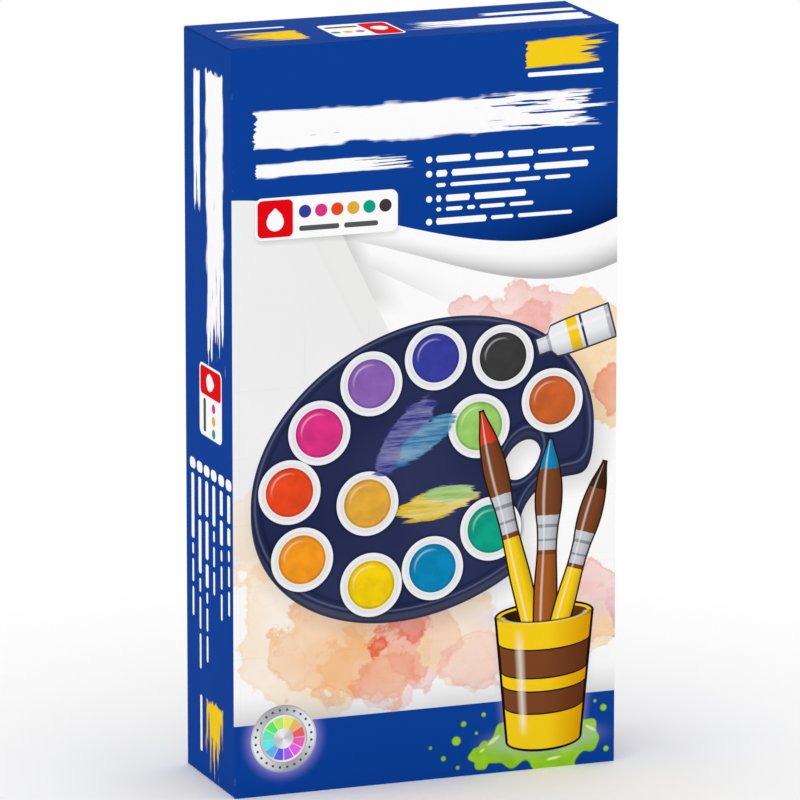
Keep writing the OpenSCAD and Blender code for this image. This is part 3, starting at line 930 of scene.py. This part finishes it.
def base_print(p, s):
    """Lower end panel: x from -66 to 66, y from -23 to 23, with a blank white box."""
    p.paint(p.slab((28, 0), (54, 30), 2), s.paper)
    p.dry_stroke((-56, 4), (-14, 4), 8, s.paper, 2.2)
    for y, end in ((-6, -22), (-10, -30)):
        p.paint(p.row(p.x, p.y - y, ((-56, end, 1),), 1.3), s.paper)


def plain_print(p, s):
    """Bare ground."""


def bleed_print(p, s):
    """Dust flap: the blue runs over the crease and stops, the rest is bare coated board."""
    p.paint(abs(p.x) - 55, (0.8, 0.79, 0.76), 0.15)


# ---- Board ----


def joint_place(name):
    return Vector(next(j["pos_m"] for j in frame["joints"] if j["name"] == name))


def printed_board(name, x, y, art, s):
    """Varnished print on coated board. x and y name the artwork's axes, such as '-y'."""
    look = Look(name, Specular_IOR_Level=0.005, IOR=1.45)
    axes = dict(zip("xyz", look.axes()))
    pick = lambda key: -axes[key[-1]] if key[0] == "-" else axes[key]
    p = Print(look, pick(x), pick(y), s.field)
    art(p, s)
    # Rubbed varnish, and pale specks where the print is worn at a crease
    rub = look.noise(look.place, 16, 4, 0.6)
    edge = wear_mask(look, axes)
    look.feed("Base Color", look.mix(edge, p.colour, s.raw))
    look.feed("Roughness", 0.46 + rub.ramp(0.3, 0.75) * 0.14 + edge * 0.3)
    # Faint fibre relief of coated board
    fibres = look.noise(look.place, 900, 3, 0.6) + look.noise(look.place, 140, 2) * 0.6
    look.bump(fibres, 0.12, 0.00003)
    return look.material


def wear_mask(look, axes):
    """Specks of wear along the carton's outer edges."""
    low, high = CAD_BOX
    margins = []
    for key, a, b in zip("xyz", low, high):
        margins.append((axes[key] - a * 1000).least(b * 1000 - axes[key]))
    # The second smallest margin is the distance to the nearest edge
    x, y, z = margins
    second = x.least(y).most(x.most(y).least(z))
    speck = look.noise(look.place, 420, 3, 0.7) + look.noise(look.place, 60, 2) * 0.5
    return (speck.ramp(0.9, 1.0) * (1 - second.ramp(0.05, 0.5))).share() * 0.22


def raw_board(name, s):
    """Grey-white inside of the board, with fibres and flecks."""
    look = Look(name, Specular_IOR_Level=0.25)
    stretched = look.moved(look.place, (0, 0, 0), (1, 1, 0.25))
    fibres = look.noise(stretched, 1400, 3, 0.7)
    flecks = look.noise(look.place, 700, 1).ramp(0.7, 0.74)
    tone = look.mix(fibres.ramp(0.3, 0.7), Vector(s.raw) * 0.9, Vector(s.raw) * 1.05)
    look.feed("Base Color", look.mix(flecks * 0.35, tone, (0.32, 0.29, 0.25)))
    look.feed("Roughness", 0.82 + fibres * 0.12)
    look.bump(fibres, 0.25, 0.00004)
    return look.material


def finish_piece(bm, name, body, materials, nodes):
    """Makes a bmesh a piece that rides on a body and stands for CAD nodes."""
    bmesh.ops.recalc_face_normals(bm, faces=bm.faces)
    mesh = bpy.data.meshes.new(name)
    bm.to_mesh(mesh)
    bm.free()
    for material in materials:
        mesh.materials.append(material)
    piece = bpy.data.objects.new(name, mesh)
    bpy.context.scene.collection.objects.link(piece)
    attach(piece, body)
    if nodes:
        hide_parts(*nodes)
    return piece


def raise_faces(bm, faces, height):
    """Extrudes faces upwards. Gives the raised faces."""
    grown = bmesh.ops.extrude_face_region(bm, geom=faces)["geom"]
    upper = [v for v in grown if isinstance(v, bmesh.types.BMVert)]
    bmesh.ops.translate(bm, verts=upper, vec=(0, 0, height))
    return [f for f in grown if isinstance(f, bmesh.types.BMFace)]


def round_edges(bm, edges, radius, segments):
    bmesh.ops.bevel(
        bm, geom=edges, offset=radius, offset_type="OFFSET", segments=segments,
        profile=0.5, affect="EDGES", material=-1,
    )


def cut_board(outline, low, high, rounding):
    """Board cut to an outline, from height low to high. rounding gives corners' radii."""
    bm = bmesh.new()
    face = bm.faces.new([bm.verts.new((x, y, 0)) for x, y in outline])
    raise_faces(bm, [face], high - low)
    for corner, radius in rounding.items():
        spot = Vector(outline[corner])
        uprights = [e for e in bm.edges if all((v.co.xy - spot).length < SAME for v in e.verts)]
        round_edges(bm, uprights, radius, 8)
    bmesh.ops.recalc_face_normals(bm, faces=bm.faces)
    bmesh.ops.translate(bm, verts=bm.verts, vec=(0, 0, low))
    return bm


def cut_panel(name):
    """Board that fills a CAD node's box."""
    low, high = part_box(name)
    outline = [(low.x, low.y), (high.x, low.y), (high.x, high.y), (low.x, high.y)]
    return cut_board(outline, low.z, high.z, {})


def mark_printed(bm, test):
    """Faces that pass the test get the print, the rest the raw board."""
    bm.normal_update()
    for face in bm.faces:
        face.material_index = 0 if test(face.normal) else 1


class PAINTSET_OT_panels(bpy.types.Operator):
    """Front, back and side panels of the carton, and the glue flap"""

    bl_idname = "paintset.panels"
    bl_label = "Carton Panels"

    def execute(self, context):
        s = context.scene.carton
        raw = raw_board("raw_board", s)
        for name, arts, x, facing in (
            ("front_panel", (band_print, picture_print, title_print), "x", -1),
            ("back_panel", (chart_print,), "-x", 1),
        ):
            low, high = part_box(name)
            outer, inner = (low.y, high.y) if facing < 0 else (high.y, low.y)
            outline = [(low.x, inner), (low.x, outer), (high.x, outer), (high.x, inner)]
            bm = cut_board(outline, low.z, high.z, {1: s.crease, 2: s.crease})
            # One material can't hold the whole front print, so the panel is cut level
            cuts = [BAND_TOP * MM, PICTURE_TOP * MM] if len(arts) > 1 else []
            for height in cuts:
                parts = [*bm.verts, *bm.edges, *bm.faces]
                bmesh.ops.bisect_plane(bm, geom=parts, plane_co=(0, 0, height), plane_no=(0, 0, 1))
            bm.normal_update()
            for face in bm.faces:
                middle = face.calc_center_median().z
                level = sum(middle > height for height in cuts)
                printed = face.normal.y * facing > -0.5
                face.material_index = level if printed else len(arts)
            inks = [printed_board(art.__name__, x, "z", art, s) for art in arts]
            finish_piece(bm, name + "_board", "carton", [*inks, raw], [name])
        for name, x, facing in (("left_side_panel", "-y", -1), ("right_side_panel", "y", 1)):
            bm = cut_panel(name)
            mark_printed(bm, lambda n: n.x * facing > -0.5)
            ink = printed_board(name + "_print", x, "z", side_print, s)
            finish_piece(bm, name + "_board", "carton", [ink, raw], [name])
        self.glue_flap(raw)
        return {"FINISHED"}

    def glue_flap(self, raw):
        """Cut in the plane of y and z, with both free corners sloped and rounded."""
        low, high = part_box("glue_flap")
        slope, corner = 5 * MM, 1 * MM
        outline = [
            (high.y, low.z), (low.y, low.z + slope), (low.y, high.z - slope), (high.y, high.z),
        ]
        bm = cut_board(outline, low.x, high.x, {1: corner, 2: corner})
        turned = Matrix(((0, 0, 1, 0), (1, 0, 0, 0), (0, 1, 0, 0), (0, 0, 0, 1)))
        bmesh.ops.transform(bm, matrix=turned, verts=bm.verts)
        finish_piece(bm, "glue_flap_board", "carton", [raw], ["glue_flap"])


class PAINTSET_OT_ends(bpy.types.Operator):
    """End panels, tuck tabs and dust flaps at both ends of the carton"""

    bl_idname = "paintset.ends"
    bl_label = "Carton Ends"

    def execute(self, context):
        s = context.scene.carton
        raw = raw_board("raw_end_board", s)
        for end, art, y in (("top", top_print, "y"), ("bottom", base_print, "-y")):
            ink = printed_board(end + "_flap_print", "x", y, art, s)
            panel = cut_panel("top_flap")
            mark_printed(panel, lambda n: n.z > -0.5)
            self.hand_over(panel, end, end + "_flap", [ink, raw])
            ink = printed_board(end + "_tab_print", "x", "y", plain_print, s)
            self.hand_over(self.tuck_tab(s), end, end + "_tuck_tab", [ink, raw])
            ink = printed_board(end + "_dust_print", "x", "y", bleed_print, s)
            for side in (-1, 1):
                name = f"{end}_dust_flap_{'left' if side < 0 else 'right'}"
                self.hand_over(self.dust_flap(s, side), end, name, [ink, raw])
        return {"FINISHED"}

    def hand_over(self, bm, end, name, materials):
        """A piece made for the top end, mirrored to the bottom end where it goes there."""
        if end == "bottom":
            middle = (CAD_BOX[0][2] + CAD_BOX[1][2]) / 2
            mirrored = Matrix.Diagonal((1, 1, -1, 1))
            mirrored.translation.z = 2 * middle
            bmesh.ops.transform(bm, matrix=mirrored, verts=bm.verts)
        finish_piece(bm, name + "_board", name, materials, [name])

    def tuck_tab(self, s):
        low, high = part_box("top_tuck_tab")
        crease = joint_place("top_tab_fold")
        near, far = 0.15 * MM, s.tab_length
        outline = [(low.x, near), (high.x, near), (high.x, far), (low.x, far)]
        bm = cut_board(outline, -s.board, 0, {2: s.tab_corner, 3: s.tab_corner})
        mark_printed(bm, lambda n: n.z > 0.5)
        place = Matrix.Translation(crease) @ Matrix.Rotation(s.tab_lean - math.pi / 2, 4, "X")
        bmesh.ops.transform(bm, matrix=place, verts=bm.verts)
        return bm

    def dust_flap(self, s, side):
        low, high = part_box("top_dust_flap_left")
        free_back = high.y - s.dust_slope * (high.x - low.x)
        outline = [(low.x, low.y), (high.x, low.y), (high.x, free_back), (low.x, high.y)]
        blunt = s.dust_corner * math.tan(math.atan(1 / s.dust_slope) / 2)
        bm = cut_board(outline, low.z, high.z, {1: s.dust_corner, 2: blunt})
        mark_printed(bm, lambda n: n.z > 0.5)
        if side > 0:
            bmesh.ops.transform(bm, matrix=Matrix.Diagonal((-1, 1, 1, 1)), verts=bm.verts)
        return bm


# ---- Paint box ----


def moulded(name, tint, roughness):
    """Smooth moulded plastic with a faint ripple and rubbed patches."""
    look = Look(name, Specular_IOR_Level=0.4, Coat_Weight=0.15, Coat_Roughness=0.12)
    cloud = look.noise(look.place, 22, 3)
    specks = look.noise(look.place, 600, 2)
    base = Vector(tint)
    tone = look.mix(cloud.ramp(0.3, 0.7), base * 0.92, base * 1.06)
    look.feed("Base Color", tone)
    rubbed = roughness + cloud.ramp(0.4, 0.75) * 0.1
    look.feed("Roughness", rubbed + specks.ramp(0.7, 0.8) * 0.08)
    look.bump(look.noise(look.place, 260, 2), 0.08, 0.00004)
    return look.material


def dress(names, material):
    """Gives CAD nodes a material."""
    for name in names:
        materials = frame["nodes"][name].data.materials
        materials.clear()
        materials.append(material)


class PAINTSET_OT_box(bpy.types.Operator):
    """Case, insert tray, mixing lid and pans"""

    bl_idname = "paintset.box"
    bl_label = "Paint Box"

    def execute(self, context):
        s = context.scene.paint_box
        dress(["case_base", "insert_tray"], moulded("case_plastic", s.case, 0.26))
        dress(["mixing_lid"], moulded("lid_plastic", s.lid, 0.22))
        dress(["case_pans", "insert_pans"], moulded("pan_plastic", s.lid, 0.3))
        dress(["tube_cap"], moulded("cap_plastic", s.lid, 0.34))
        return {"FINISHED"}


def pressed_paint(name, tint):
    """Pressed gouache: matt, chalky, slightly uneven, with faint rings from the press."""
    look = Look(name, Specular_IOR_Level=0.25)
    cloud = look.noise(look.place, 120, 5, 0.65)
    grain = look.noise(look.place, 2200, 2)
    base = Vector(tint)
    chalk = base * 0.85 + Vector((0.15, 0.15, 0.15))
    tone = look.mix(cloud.ramp(0.35, 0.7), base * 0.9, base)
    look.feed("Base Color", look.mix(grain.ramp(0.6, 0.8) * 0.3, tone, chalk))
    look.feed("Roughness", 0.72 + cloud * 0.2)
    look.bump(grain * 0.5 + cloud, 0.35, 0.00008)
    return look.material


class PAINTSET_OT_cakes(bpy.types.Operator):
    """Twenty-four pressed paint cakes, each with a dished face"""

    bl_idname = "paintset.cakes"
    bl_label = "Paint Cakes"

    def execute(self, context):
        s = context.scene.paint_box
        for name, code in {**CASE_PAINTS, **INSERT_PAINTS}.items():
            node = "cake_" + name
            slot = "paint_" + name
            paint = pressed_paint(slot, linear(code))
            finish_piece(self.cake(s, node), node + "_pressed", "paint_box", [paint], [node])
        return {"FINISHED"}

    def cake(self, s, node):
        low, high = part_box(node)
        middle, radius, depth = (low + high) / 2, (high.x - low.x) / 2, high.y - low.y
        bm = bmesh.new()
        bmesh.ops.create_circle(bm, cap_ends=True, segments=48, radius=radius)
        face = raise_faces(bm, list(bm.faces), depth)
        # Steps of the dish: width of the ring as a share of the radius, drop
        steps = ((s.cake_edge / radius, 0), (0.12, 0.25), (0.16, 0.75), (0.25, 1), (0.2, 1))
        for share, drop in steps:
            bmesh.ops.inset_region(bm, faces=face, thickness=share * radius, use_even_offset=True)
            for v in face[0].verts:
                v.co.z = depth - drop * s.cake_dish

        def on_rim(v):
            return abs(v.co.z - depth) < SAME and v.co.xy.length > radius * 0.995

        rim = [e for e in bm.edges if all(on_rim(v) for v in e.verts)]
        round_edges(bm, rim, s.cake_edge * 0.9, 3)
        # The face looks to the front
        place = Matrix.Translation((middle.x, high.y, middle.z))
        place = place @ Matrix.Rotation(math.pi / 2, 4, "X")
        bmesh.ops.transform(bm, matrix=place, verts=bm.verts)
        for f in bm.faces:
            f.smooth = len(f.verts) == 4
        return bm


class PAINTSET_OT_tube(bpy.types.Operator):
    """Tube of opaque white, from its folded end to its threaded neck"""

    bl_idname = "paintset.tube"
    bl_label = "Paint Tube"

    # Height in mm of the flat fold at the tube's end
    FOLD = 5

    def execute(self, context):
        s = context.scene.paint_box
        low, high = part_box("tube_body")
        axis = joint_place("tube_cap_turn")
        bm = bmesh.new()
        half = (high.x - low.x) / 2
        # Along the tube from its folded end: height in mm, half width, half depth
        crimp, body, neck, thread = 0.7 * MM, 7.5 * MM, 3.7 * MM, 3.95 * MM
        turns, pitch, steps = 4, 1.9, 8
        rings = [(0, half, crimp), (self.FOLD, half, crimp)]
        for i in range(1, steps + 1):
            share = i / steps
            wide = half + (body - half) * share
            deep = crimp + (body - crimp) * math.sin(share * math.pi / 2) ** 0.9
            rings.append((self.FOLD + 46 * share, wide, deep))
        rings += [(63, body, body), (63.6, 7.2 * MM, 7.2 * MM), (67, 4.2 * MM, 4.2 * MM)]
        for i in range(turns):
            rings += [(67.6 + i * pitch, neck, neck), (68.5 + i * pitch, thread, thread)]
        rings.append((76, neck, neck))
        bmesh.ops.create_circle(bm, cap_ends=True, segments=40, radius=1)
        bmesh.ops.scale(bm, verts=bm.verts, vec=(rings[0][1], rings[0][2], 1))
        edges = list(bm.edges)
        last = rings[0]
        for ring in rings[1:]:
            grown = bmesh.ops.extrude_edge_only(bm, edges=edges)["geom"]
            moved = [g for g in grown if isinstance(g, bmesh.types.BMVert)]
            edges = [g for g in grown if isinstance(g, bmesh.types.BMEdge)]
            bmesh.ops.scale(bm, verts=moved, vec=(ring[1] / last[1], ring[2] / last[2], 1))
            bmesh.ops.translate(bm, verts=moved, vec=(0, 0, (ring[0] - last[0]) * MM))
            last = ring
        bmesh.ops.holes_fill(bm, edges=edges)
        bmesh.ops.translate(bm, verts=bm.verts, vec=(axis.x, axis.y, low.z))
        for f in bm.faces:
            f.smooth = True
        skin = self.skin(s, low.z)
        finish_piece(bm, "tube_body_skin", "paint_box", [skin], ["tube_body"])
        return {"FINISHED"}

    def skin(self, s, start):
        """White lacquer with a plain blue band and bare metal at both ends."""
        look = Look("tube_lacquer", Specular_IOR_Level=0.5, Coat_Weight=0.2, Coat_Roughness=0.15)
        x, y, z = look.axes()
        z = z - start * 1000
        dent = look.noise(look.place, 70, 3)
        metal = (1 - z.ramp(self.FOLD + 0.8, self.FOLD + 1)).most(z.ramp(63.4, 63.6))
        band = z.ramp(42, 42.1) * (1 - z.ramp(50, 50.1))
        line = z.ramp(51.5, 51.6) * (1 - z.ramp(52.3, 52.4))
        tone = look.mix(dent.ramp(0.3, 0.7), Vector(s.tube) * 0.95, s.tube)
        tone = look.mix(band.most(line), tone, "#26356f")
        look.feed("Base Color", look.mix(metal, tone, s.metal))
        look.feed("Metallic", metal)
        look.feed("Roughness", 0.3 + dent * 0.12)
        folds = (z * 4.2).sine() * (1 - z.ramp(self.FOLD - 0.4, self.FOLD + 0.2))
        look.bump(dent * 0.7 + folds * 0.5, 0.4, 0.0003)
        return look.material


# ---- Studio ----


class PAINTSET_OT_studio(bpy.types.Operator):
    """Pale floor, soft light and the camera"""

    bl_idname = "paintset.studio"
    bl_label = "Studio"

    def execute(self, context):
        s = context.scene.studio
        scene = context.scene
        bm = bmesh.new()
        bmesh.ops.create_grid(bm, x_segments=1, y_segments=1, size=s.floor_size / 2)
        bmesh.ops.translate(bm, verts=bm.verts, vec=(0, 0, -0.02 * MM))
        mesh = bpy.data.meshes.new("floor")
        bm.to_mesh(mesh)
        bm.free()
        mesh.materials.append(self.floor_material(s))
        floor = bpy.data.objects.new("floor", mesh)
        scene.collection.objects.link(floor)
        self.surround(scene, s)
        self.key_lamp(scene, s)
        self.camera(scene, s)
        scene.view_settings.view_transform = "Standard"
        return {"FINISHED"}

    def floor_material(self, s):
        """Pale paper that fades into the white background away from the carton.

        It is clear from below and under the carton, so the lower end is seen and lit.
        """
        look = Look("floor_paper", Specular_IOR_Level=0.0, Roughness=0.9)
        grain = look.noise(look.place, 40, 2)
        look.feed("Base Color", look.mix(grain.ramp(0.3, 0.7), Vector(s.floor) * 0.99, s.floor))
        x, y, z = look.axes()
        flat = look.add("ShaderNodeCombineXYZ", {}, {0: x, 1: y, 2: 0})
        far = look.vector("LENGTH", flat, output="Value").ramp(90, 250)
        white = look.add("ShaderNodeEmission", {}, {0: (1, 1, 1, 1), 1: 1})
        factor = far * look.background_rays()
        surface = Wire(look, look.surface.outputs[0])
        mixed = look.add("ShaderNodeMixShader", {}, {0: factor, 1: surface, 2: white})
        below = look.add("ShaderNodeNewGeometry", {}, {}, "Backfacing")
        wide, deep = (half * 1000 for half in CAD_BOX[1][:2])
        foot = (abs(x) - wide).most(abs(y) - deep).ramp(-0.3, -0.4)
        clear = look.add("ShaderNodeBsdfTransparent", {}, {})
        mixed = look.add("ShaderNodeMixShader", {}, {0: below.most(foot), 1: mixed, 2: clear})
        look.tree.links.new(mixed.socket, look.tree.nodes["Material Output"].inputs[0])
        return look.material

    def surround(self, scene, s):
        world = bpy.data.worlds.new("surround")
        world.use_nodes = True
        scene.world = world
        nodes = Nodes(world.node_tree)
        strength = nodes.background_rays() * (1 - s.sky) + s.sky
        background = world.node_tree.nodes["Background"]
        background.inputs[0].default_value = (1, 1, 1, 1)
        world.node_tree.links.new(strength.socket, background.inputs[1])

    def key_lamp(self, scene, s):
        """Large soft lamp, aimed at the middle of the carton."""
        light = bpy.data.lights.new("key_lamp", "AREA")
        light.shape = "DISK"
        light.size = 1.6
        light.energy = s.key
        lamp = bpy.data.objects.new("key_lamp", light)
        lamp.location = (-1.1, -1.6, 1.5)
        aim = Vector((0, 0, 0.12)) - lamp.location
        lamp.rotation_mode = "QUATERNION"
        lamp.rotation_quaternion = aim.to_track_quat("-Z", "Y")
        scene.collection.objects.link(lamp)

    def camera(self, scene, s):
        """Camera at the photograph's place, fitted to the carton's edges."""
        data = bpy.data.cameras.new("camera")
        data.lens = s.lens
        data.sensor_width = 36
        camera = bpy.data.objects.new("camera", data)
        right = Vector((0.93530, -0.35385, 0.00037))
        up = Vector((0.07825, 0.20784, 0.97503))
        back = right.cross(up)
        matrix = Matrix((right, up, back)).transposed().to_4x4()
        matrix.translation = (-0.8988, -2.3740, 0.6998)
        camera.matrix_world = matrix
        data.clip_start, data.clip_end = 0.05, 50
        scene.collection.objects.link(camera)
        scene.camera = camera


class PAINTSET_PT_sidebar(bpy.types.Panel):
    """Settings and build steps of the paint set"""

    bl_idname = "PAINTSET_PT_sidebar"
    bl_label = "Paint Set"
    bl_space_type = "VIEW_3D"
    bl_region_type = "UI"
    bl_category = "Paint Set"

    def draw(self, context):
        layout = self.layout
        for group in (context.scene.carton, context.scene.paint_box, context.scene.studio):
            box = layout.box()
            for key in group.__annotations__:
                box.prop(group, key)
        for operator in OPERATORS:
            layout.operator(operator.bl_idname)


OPERATORS = (
    PAINTSET_OT_panels,
    PAINTSET_OT_ends,
    PAINTSET_OT_box,
    PAINTSET_OT_cakes,
    PAINTSET_OT_tube,
    PAINTSET_OT_studio,
)
CLASSES = (CartonSettings, ContentSettings, StudioSettings, *OPERATORS, PAINTSET_PT_sidebar)


def register():
    for item in CLASSES:
        bpy.utils.register_class(item)
    bpy.types.Scene.carton = bpy.props.PointerProperty(type=CartonSettings)
    bpy.types.Scene.paint_box = bpy.props.PointerProperty(type=ContentSettings)
    bpy.types.Scene.studio = bpy.props.PointerProperty(type=StudioSettings)


def unregister():
    del bpy.types.Scene.studio
    del bpy.types.Scene.paint_box
    del bpy.types.Scene.carton
    for item in reversed(CLASSES):
        bpy.utils.unregister_class(item)


def main():
    register()
    bpy.ops.paintset.panels()
    bpy.ops.paintset.ends()
    bpy.ops.paintset.box()
    bpy.ops.paintset.cakes()
    bpy.ops.paintset.tube()
    bpy.ops.paintset.studio()


if __name__ == "__main__":
    main()
